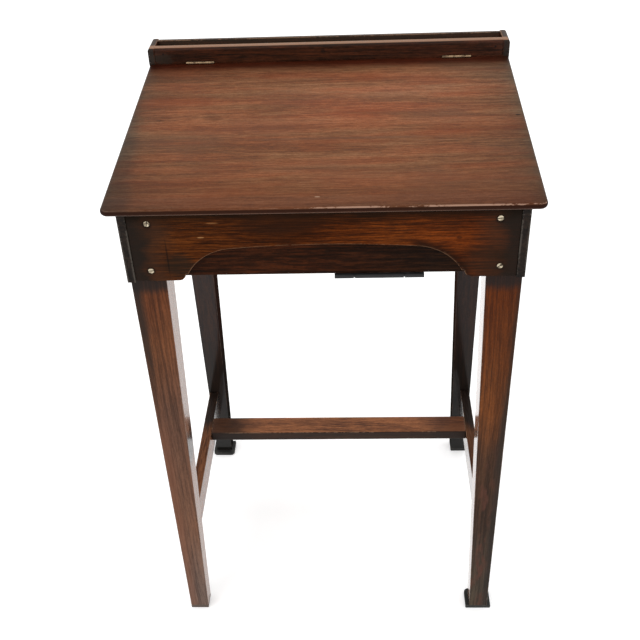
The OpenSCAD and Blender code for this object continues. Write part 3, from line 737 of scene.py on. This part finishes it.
def burn(w, x, z, ragged):
    """Mask of the burn in the apron, a streak that bends down and widens to the right."""
    start_x, start_z = 0.085, 0.6595
    bend, widening, least_reach = 7.5, 0.25, 0.003
    beyond = w.math("MAXIMUM", w.minus(x, start_x), 0.0)
    fall = w.times(beyond, beyond, bend)
    above = w.plus(w.minus(z, start_z), fall, w.times(ragged, 0.1))
    reach = w.math("MULTIPLY_ADD", beyond, widening, least_reach)
    streak = until(w, w.math("DIVIDE", above, reach), 0.3, 1.3)
    return w.times(streak, between(w, x, 0.09, 0.11, 0.158, 0.172))


def leg_tint(w, place, now):
    """The left front leg greys towards the floor, and the right one is redder above and darker
    below. Both darken to black at the top, a painted shade under the apron, and are black along
    much of their outer edges. Their inner faces are lighter, a painted reflection, and the left
    leg's carries a dark band of painted reflection of the cross stretcher."""
    x, z = w.axes(place, "XZ")
    height = w.plus(z, ragged_edge(w, place, (40.0, 40.0, 9.0), 0.12))
    share = w.spread(height, 0.0, 0.625, smooth=False)
    # Both ramps darken at their last stops, towards the apron: the start of the painted shade under
    # it.
    left = w.ramp(share, [(0.07, (0.8, 0.81, 0.83)), (0.29, (0.8, 0.59, 0.45)),
                          (0.65, (0.62, 0.45, 0.36)), (0.83, (0.82, 0.46, 0.24)),
                          (0.92, (0.66, 0.31, 0.14))])
    right = w.ramp(share, [(0.07, (0.36, 0.39, 0.33)), (0.29, (0.27, 0.2, 0.14)),
                           (0.5, (0.36, 0.24, 0.14)), (0.65, (0.88, 0.41, 0.12)),
                           (0.9, (0.58, 0.19, 0.02))])
    now = toned(w, now, w.mix(by_half(w, place, 0.0, 1.0), left, right))
    patch = w.noise(w.stretched(place, (90.0, 60.0, 22.0)), detail=4.0, roughness=0.6)
    patch = w.times(past(w, patch, 0.46, 0.6), past(w, x, 0.18, 0.2),
                    until(w, height, 0.24, 0.36))
    now = stain(w, now, patch, (0.085, 0.03, 0.018), 0.6)
    uneven = ragged_edge(w, place, (90.0, 60.0, 14.0), 0.012)
    outer = w.plus(x, uneven)
    wide = w.times(past(w, outer, 0.212, 0.224), until(w, height, 0.36, 0.5))
    now = stain(w, now, wide, (0.018, 0.015, 0.012), 0.75)
    now = stain(w, now, past(w, outer, 0.2175, 0.226), (0.018, 0.011, 0.007), 0.7)
    outer = w.minus(uneven, x)
    smoky = w.times(past(w, outer, 0.21, 0.221), past(w, height, 0.42, 0.54))
    now = stain(w, now, smoky, (0.018, 0.013, 0.01), 0.8)
    rubbed = w.times(past(w, outer, 0.208, 0.221), until(w, height, 0.34, 0.46))
    now = stain(w, now, rubbed, (0.18, 0.07, 0.038), 0.45)
    # Near black at the top, under the apron: painted shade.
    top = past(w, w.plus(z, uneven), 0.583, 0.598)
    now = stain(w, now, top, (0.011, 0.009, 0.008), 0.85)
    # The faces that look to the middle are lighter: painted reflection of the bright room in their
    # polish.
    inner = inward(w, place)
    now = stain(w, now, inner, (0.28, 0.135, 0.08), 0.6)
    # A dark band across the left front leg's inner face, where it mirrors the cross stretcher:
    # painted reflection.
    scuff = w.times(between(w, height, 0.285, 0.315, 0.35, 0.38), by_half(w, place, 1.0, 0.0),
                    inner)
    return stain(w, now, scuff, (0.02, 0.008, 0.005), 0.9)


def rear_tint(w, place, now):
    """The rear legs darken towards the floor, and are black with dirt at the feet."""
    height = w.plus(w.axis(place, "Z"), ragged_edge(w, place, (60.0, 60.0, 20.0), 0.06))
    now = stain(w, now, until(w, height, 0.18, 0.32), (0.008, 0.008, 0.007), 0.65)
    return stain(w, now, until(w, height, 0.06, 0.12), (0.009, 0.009, 0.008), 0.8)


def side_bar_tint(w, place, now):
    """The side stretchers are duller than the cross stretcher, the right one more so, and nearly
    black towards the back."""
    now = stain(w, now, by_half(w, place, 0.45, 0.8), (0.04, 0.016, 0.008), 1.0)
    back = w.plus(w.axis(place, "Y"), ragged_edge(w, place, (60.0, 20.0, 60.0), 0.04))
    return stain(w, now, past(w, back, 0.055, 0.09), (0.01, 0.008, 0.007), 0.92)


def bar_tint(w, place, now):
    """The cross stretcher is nearly black at its left end and in front, and dull at its right
    end."""
    x, y = w.axes(place, "XY")
    ragged = ragged_edge(w, place, (14.0, 60.0, 60.0), 0.05)
    left = past(w, w.minus(ragged, x), 0.125, 0.175)
    now = stain(w, now, left, (0.018, 0.008, 0.005), 0.85)
    right = past(w, w.plus(ragged, x), 0.13, 0.17)
    now = stain(w, now, right, (0.06, 0.022, 0.012), 0.7)
    return stain(w, now, until(w, y, 0.0603, 0.0612), (0.016, 0.011, 0.009), 0.92)


def tray_tint(w, place, now):
    """Tops of the tray, lighter partly from rubbing and partly from a painted highlight, its dark
    ends, a scuff, a filled hole and the heads of nails.
    """
    x, y, z = w.axes(place)
    wide = w.math("ABSOLUTE", x)
    now = tone_across(w, place, now, [
        (0.05, (0.82, 0.76, 0.64)), (0.45, (0.95, 0.94, 0.85)), (0.85, (1.0, 1.07, 1.24))])
    now = stain(w, now, past(w, wide, 0.2345, 0.2355), (0.018, 0.014, 0.011), 0.8)
    # The tops are lighter, most along the front rail: partly rubbed polish, partly painted
    # highlight.
    top = past(w, z, 0.7632, 0.7637)
    now = stain(w, now, top, (0.1, 0.065, 0.045), 0.35)
    front = w.times(top, until(w, y, 0.1645, 0.166))
    now = stain(w, now, front, (0.28, 0.15, 0.09), 0.85)
    inside = w.times(past(w, y, 0.175, 0.18), until(w, wide, 0.23, 0.234))
    now = stain(w, now, inside, (0.07, 0.055, 0.04), 0.4)
    rough = ragged_edge(w, place, (300.0, 300.0, 300.0), 0.4)
    torn = ragged_edge(w, place, (160.0, 160.0, 260.0), 1.6)

    def at(now, ragged, spot, half_width, half_height, tint, strength):
        reach = (half_width, MARK_DEPTH / 2, half_height)
        return mark(w, place, now, ragged, spot, reach, tint, strength)

    hole = (-0.0058, RAIL_FACE, 0.7548)
    now = at(now, rough, hole, 0.0036, 0.0036, (0.01, 0.005, 0.003), 0.65)
    scuff = (-0.224, RAIL_FACE, 0.749)
    now = at(now, torn, scuff, 0.017, 0.009, (0.03, 0.021, 0.015), 0.6)
    nails = ((-0.222, RAIL_FACE, 0.7555), (0.2238, RAIL_FACE, 0.755),
             (-0.2409, TRAY_END_FACE, 0.747), (0.24, TRAY_END_FACE, 0.748))
    for nail in nails:
        now = at(now, rough, nail, 0.0017, 0.0017, (0.005, 0.004, 0.004), 0.85)
    return now


def box_tint(w, place, now):
    """The box's boards are redder left of the middle, and blacker towards the right."""
    return tone_across(w, place, now, [
        (0.15, (1.15, 1.05, 0.95)), (0.45, (1.36, 1.12, 0.9)), (0.75, (0.6, 0.76, 0.94))])


# Operators


class DeskOperator:
    """What the desk's operators share."""

    bl_options = {"REGISTER", "UNDO"}


class DESK_OT_lid(DeskOperator, bpy.types.Operator):
    """Make the worn lid"""

    bl_idname = "desk.lid"
    bl_label = "Lid"

    def execute(self, context):
        lid = worn_copy("lid", "X", body="lid", least_area=1e-3)
        self.rub_and_highlight_front(lid.data, context.scene.desk_wear.wear_reach)
        dress(lid, wood("lid", "Lid polish", "X", shares=(0.36, 0.26, 0.28, 0.1),
                        spacing=0.011, sway=0.015, gloss=0.42, specular=0.05, worn=0.0008,
                        gaps=0.38, dirt=0.25, tint=lid_tint, bare=(0.46, 0.28, 0.2)))
        return {"FINISHED"}

    def rub_and_highlight_front(self, mesh, reach):
        """Rubs a pale line just inside the rounded front edge, a little less on the left: partly
        wear, partly a painted highlight along the arris.
        """
        line_in = 0.0014
        depth, fade = 0.0016, 0.0012
        strip, onset = 0.008, 0.003
        on_left, left_end, blend = 0.86, -0.05, 0.08

        def clamped(value):
            return min(1.0, max(0.0, value))

        layer = mesh.attributes["arris"]
        half = max(abs(v.co.x) for v in mesh.vertices)
        front = min(v.co.y for v in mesh.vertices)
        for i, v in enumerate(mesh.vertices):
            out_x = abs(v.co.x) - half + LID_CORNER
            out_y = front + LID_CORNER - v.co.y
            if out_x > 0.0 and out_y > 0.0:
                edge = LID_CORNER - math.hypot(out_x, out_y)
            else:
                edge = LID_CORNER - max(out_x, out_y)
            level = LID_LEVEL + LID_RISE * v.co.y - v.co.z
            above = clamped(1.0 - (level - depth) / fade)
            ahead = clamped((front + strip - v.co.y) / onset)
            ahead *= on_left + (1.0 - on_left) * clamped((v.co.x - left_end) / blend)
            layer.data[i].value = ahead * above * clamped(1.0 - abs(edge - line_in) / reach)


class DESK_OT_tray(DeskOperator, bpy.types.Operator):
    """Make the pen tray behind the lid"""

    bl_idname = "desk.tray"
    bl_label = "Pen tray"

    def execute(self, context):
        long = wood("pen tray", "Tray polish, along", "X", specular=0.12, gaps=0.42, dirt=0.35,
                    tint=tray_tint)
        end = wood("pen tray", "Tray polish, ends", "Y", gloss=0.45, specular=0.12, dirt=0.5,
                   tint=tray_tint)
        top_part = 0.76

        def on_top(edge):
            return long_enough(edge) and min(v.co.z for v in edge.verts) > top_part

        for node in ("tray_floor", "tray_front_rail", "tray_back_rail"):
            dress(worn_copy(node, "X", shows=on_top), long)
        for node in ("tray_left_end", "tray_right_end"):
            dress(worn_copy(node, "Y", shows=on_top), end)
        return {"FINISHED"}


class DESK_OT_box(DeskOperator, bpy.types.Operator):
    """Make the side, front, back and bottom boards"""

    bl_idname = "desk.box"
    bl_label = "Box"

    def execute(self, context):
        side = wood("side boards", "Side polish", "Y", spacing=0.007, gloss=0.45, specular=0.08,
                    worn=0.0018, gaps=0.42, bare=(0.085, 0.072, 0.06))
        # Partly the boards' own dark stain, partly painted shade inside the box.
        inner = wood("inner boards", "Box stain and shade", "X", spacing=0.009, gloss=0.5, specular=0.03,
                     worn=0.0008, gaps=0.5, tint=box_tint, bare=(0.1, 0.05, 0.03))
        for node in ("left_side_board", "right_side_board"):
            dress(worn_copy(node, "Y"), side)
        for node in ("front_board", "back_board", "bottom_board"):
            dress(worn_copy(node, "X", choose=lambda e: long_enough(e, 0.05)), inner)
        return {"FINISHED"}


class DESK_OT_apron(DeskOperator, bpy.types.Operator):
    """Make the arched apron"""

    bl_idname = "desk.apron"
    bl_label = "Apron"

    def execute(self, context):
        hole_room, face_depth = 0.006, 0.002
        arch_foot, arch_crown = 0.6165, 0.665

        def not_a_hole(edge):
            place = (edge.verts[0].co + edge.verts[1].co) / 2
            return all(math.hypot(abs(place.x) - x, place.z - z) > hole_room
                       for x, z in APRON_SCREWS)

        def arch(edge):
            return (max(v.co.y for v in edge.verts) < APRON_FACE + face_depth
                    and arch_foot < max(v.co.z for v in edge.verts) < arch_crown)

        apron = worn_copy("arched_apron", "X", choose=not_a_hole, shows=arch,
                          least_area=5e-3)
        dress(apron, wood("apron", "Apron polish", "X", shares=(0.38, 0.3, 0.16, 0.16),
                          spacing=0.0075, sway=0.025, fibre=1.7, length=2.2, gloss=0.36,
                          specular=0.02, worn=0.0008, gaps=0.24, dirt=0.15, tint=apron_tint,
                          bare=(0.2, 0.105, 0.055)))
        return {"FINISHED"}


class DESK_OT_legs(DeskOperator, bpy.types.Operator):
    """Make the four legs"""

    bl_idname = "desk.legs"
    bl_label = "Legs"

    def execute(self, context):
        front = wood("front legs", "Leg polish", "Z", shares=(0.26, 0.36, 0.26, 0.12),
                     spacing=0.009, length=1.8, gloss=0.22, specular=0.08, gaps=0.52, dirt=0.35,
                     tint=leg_tint, bare=(0.2, 0.13, 0.09), polish=inner_coat)
        rear = wood("rear legs", "Rear leg polish", "Z", spacing=0.009, gloss=0.28, specular=0.0,
                    worn=0.0008, gaps=0.55, tint=rear_tint, bare=(0.08, 0.05, 0.035),
                    polish=other_coat)
        for node in ("front_left_leg", "front_right_leg", "rear_left_leg", "rear_right_leg"):
            leg = worn_copy(node, "Z", choose=lambda e: long_enough(e, 0.02))
            dress(leg, front if node.startswith("front") else rear)
        return {"FINISHED"}


class DESK_OT_stretchers(DeskOperator, bpy.types.Operator):
    """Make the stretchers"""

    bl_idname = "desk.stretchers"
    bl_label = "Stretchers"

    def execute(self, context):
        side = wood("stretchers", "Side stretcher polish", "Y", gloss=0.22, specular=0.08,
                    worn=0.0008, gaps=0.52, dirt=0.5, tint=side_bar_tint, polish=inner_coat)
        cross = wood("stretchers", "Cross stretcher polish", "X", gloss=0.3, specular=0.12,
                     worn=0.0008, gaps=0.56, dirt=0.35, tint=bar_tint)
        for node in ("left_stretcher", "right_stretcher"):
            dress(worn_copy(node, "Y"), side)
        dress(worn_copy("cross_stretcher", "X"), cross)
        return {"FINISHED"}


class DESK_OT_pads(DeskOperator, bpy.types.Operator):
    """Make the pads under the feet"""

    bl_idname = "desk.pads"
    bl_label = "Foot pads"

    def execute(self, context):
        colours = context.scene.desk_colours
        material, w, place = new_material("Pad")
        soil = w.use(dirt_group(), {"Vector": place, "Size": 0.012, "Amount": 0.7})["Mask"]
        now = w.mix(soil, (*colours.pad, 1.0), (0.045, 0.046, 0.04, 1.0))
        now = stain(w, now, rub_line(w, place, 0.0009, 0.5), (0.09, 0.085, 0.072), 0.6)
        front = until(w, w.axis(place, "Y"), -0.01, 0.01)
        front_left = w.times(by_half(w, place, 1.0, 0.0), front)
        now = stain(w, now, front_left, (0.105, 0.075, 0.06), 0.85)
        rough = w.plus(0.62, w.times(soil, 0.2))
        normal = w.bump(w.noise(place, scale=900.0, detail=3.0), 0.4, 0.0004)
        finish_material(w, now, rough, normal, Specular_IOR_Level=0.25)
        pads = worn_copy("foot_pads", "X", choose=lambda edge: True, rounder=2.4)
        dress(pads, material)
        return {"FINISHED"}


def brass_material(colours, name, bright, slotted=False):
    """Tarnished brass, bright where rubbed. Slotted darkens the slots of the apron's screws."""
    material, w, place = new_material(name)
    cloud = w.noise(w.stretched(place, (150.0, 260.0, 260.0)), detail=4.0, roughness=0.6)
    scratch = w.noise(w.stretched(place, (240.0, 2400.0, 900.0)), detail=2.0)
    dark = w.spread(cloud, 0.46, 0.6)
    now = w.mix(w.times(dark, 0.8), (*bright, 1.0), (*colours.tarnish, 1.0))
    if slotted:
        slot = past(w, w.axis(place, "Y"), APRON_FACE + 0.00015, APRON_FACE + 0.0004)
        now = stain(w, now, slot, colours.grime, 0.95)
    rough = w.plus(w.times(scratch, 0.18), w.times(dark, 0.25), 0.14)
    finish_material(w, now, rough, w.bump(scratch, 0.25, 0.0001), Metallic=1.0)
    return material


def iron_material(colours):
    """Blackened iron with some rust."""
    material, w, place = new_material("Blackened iron")
    cloud = w.noise(place, scale=130.0, detail=5.0, roughness=0.65)
    rust = w.spread(cloud, 0.58, 0.74)
    now = w.mix(w.times(rust, 0.7), (*colours.iron, 1.0), (0.06, 0.03, 0.018, 1.0))
    rough = w.spread(cloud, 0.3, 0.7, 0.42, 0.72)
    normal = w.bump(w.noise(place, scale=1100.0, detail=3.0), 0.35, 0.0002)
    metal = w.spread(rust, 0.0, 1.0, 0.55, 0.1)
    finish_material(w, now, rough, normal, Metallic=metal)
    return material


class DESK_OT_brass(DeskOperator, bpy.types.Operator):
    """Finish the lid hinges and the brass screws"""

    bl_idname = "desk.brass"
    bl_label = "Brass"

    def execute(self, context):
        colours = context.scene.desk_colours
        brass = brass_material(colours, "Brass of the hinges", colours.hinge_brass)
        for side in ("left", "right"):
            for part in ("hinge_lid_leaf", "hinge_tray_leaf", "hinge_pin"):
                dress(f"{side}_{part}", brass)
        for node in ("lid_leaf_screws", "tray_leaf_screws"):
            dress(node, brass)
        dress("apron_screws", brass_material(colours, "Brass of the apron screws",
                                             colours.brass, slotted=True))
        return {"FINISHED"}


class DESK_OT_iron(DeskOperator, bpy.types.Operator):
    """Finish the iron hinge under the box"""

    bl_idname = "desk.iron"
    bl_label = "Iron hinge"

    def execute(self, context):
        iron = iron_material(context.scene.desk_colours)
        for node in ("iron_fixed_leaf", "iron_free_leaf", "iron_pin", "iron_screws"):
            dress(node, iron)
        return {"FINISHED"}


class DESK_OT_stage(DeskOperator, bpy.types.Operator):
    """Lay the floor, hang the lights and set up the camera"""

    bl_idname = "desk.stage"
    bl_label = "Studio"

    def execute(self, context):
        scene = context.scene
        stage = scene.desk_stage
        white = (1.0, 1.0, 1.0, 1.0)
        self.lay_floor(scene, stage, white)
        world = bpy.data.worlds.new("Studio")
        world.use_nodes = True
        background = world.node_tree.nodes["Background"].inputs
        background["Color"].default_value = white
        background["Strength"].default_value = stage.dome
        scene.world = world
        self.area(scene, "key_light", (-1.5, -1.7, 2.3), 1.6, stage.key)
        self.area(scene, "top_light", (0.3, 0.4, 2.6), 1.8, stage.top)
        self.camera(scene)
        scene.view_settings.view_transform = "Standard"
        return {"FINISHED"}

    def lay_floor(self, scene, stage, white):
        material, w, place = new_material("Floor")
        cloud = w.noise(place, scale=1.5, detail=3.0)
        lighter = [min(1.0, v * 1.02) for v in stage.floor]
        now = w.mix(cloud, (*stage.floor, 1.0), (*lighter, 1.0))
        rough = w.spread(cloud, 0.0, 1.0, 0.75, 0.85)
        finish_material(w, now, rough, Specular_IOR_Level=0.2, Emission_Strength=stage.glow,
                        Emission_Color=white)
        bm = bmesh.new()
        bmesh.ops.create_circle(bm, cap_ends=True, segments=96, radius=9.0)
        mesh = bpy.data.meshes.new("studio_floor")
        bm.to_mesh(mesh)
        bm.free()
        mesh.materials.append(material)
        floor = bpy.data.objects.new("studio_floor", mesh)
        scene.collection.objects.link(floor)

    def area(self, scene, name, place, size, power):
        light = bpy.data.lights.new(name, "AREA")
        light.shape = "DISK"
        light.size = size
        light.energy = power
        lamp = bpy.data.objects.new(name, light)
        lamp.location = place
        aim = LAMP_AIM - Vector(place)
        lamp.rotation_euler = aim.to_track_quat("-Z", "Y").to_euler()
        scene.collection.objects.link(lamp)

    def camera(self, scene):
        """The camera stands and looks as in the photograph."""
        turn, tilt, roll = map(math.radians, (CAMERA_TURN, CAMERA_TILT, CAMERA_ROLL))
        ahead = Vector((math.sin(turn) * math.cos(tilt), math.cos(turn) * math.cos(tilt),
                        -math.sin(tilt)))
        level = Vector((math.cos(turn), -math.sin(turn), 0.0))
        over = level.cross(ahead)
        right = level * math.cos(roll) + over * math.sin(roll)
        up = over * math.cos(roll) - level * math.sin(roll)
        lens = bpy.data.cameras.new("photo_camera")
        lens.sensor_fit = "HORIZONTAL"
        lens.sensor_width = PICTURE_WIDTH
        lens.lens = LENS_LENGTH
        lens.clip_end = 60.0
        eye = bpy.data.objects.new("photo_camera", lens)
        facing = Matrix((right, up, -ahead)).transposed().to_4x4()
        eye.matrix_world = Matrix.Translation(CAMERA_PLACE) @ facing
        scene.collection.objects.link(eye)
        scene.camera = eye


PIECES = (DESK_OT_lid, DESK_OT_tray, DESK_OT_box, DESK_OT_apron, DESK_OT_legs, DESK_OT_stretchers,
          DESK_OT_pads, DESK_OT_brass, DESK_OT_iron, DESK_OT_stage)


class DESK_PT_sidebar(bpy.types.Panel):
    """Lists the desk's operators and settings"""

    bl_idname = "DESK_PT_sidebar"
    bl_label = "School desk"
    bl_space_type = "VIEW_3D"
    bl_region_type = "UI"
    bl_category = "Desk"

    def draw(self, context):
        for piece in PIECES:
            self.layout.operator(piece.bl_idname)
        for group_name in ("desk_wear", "desk_colours", "desk_stage"):
            settings = getattr(context.scene, group_name)
            box = self.layout.box()
            for key in settings.bl_rna.properties.keys():
                if key not in ("rna_type", "name"):
                    box.prop(settings, key)


CLASSES = (DeskWear, DeskColours, DeskStage, *PIECES, DESK_PT_sidebar)


def register():
    for each in CLASSES:
        bpy.utils.register_class(each)
    bpy.types.Scene.desk_wear = PointerProperty(type=DeskWear)
    bpy.types.Scene.desk_colours = PointerProperty(type=DeskColours)
    bpy.types.Scene.desk_stage = PointerProperty(type=DeskStage)


def unregister():
    del bpy.types.Scene.desk_stage
    del bpy.types.Scene.desk_colours
    del bpy.types.Scene.desk_wear
    for each in reversed(CLASSES):
        bpy.utils.unregister_class(each)


def main():
    register()
    for piece in PIECES:
        operator = getattr(bpy.ops.desk, piece.bl_idname.split(".")[1])
        if operator() != {"FINISHED"}:
            raise RuntimeError(f"{piece.bl_label} could not be made")


if __name__ == "__main__":
    main()
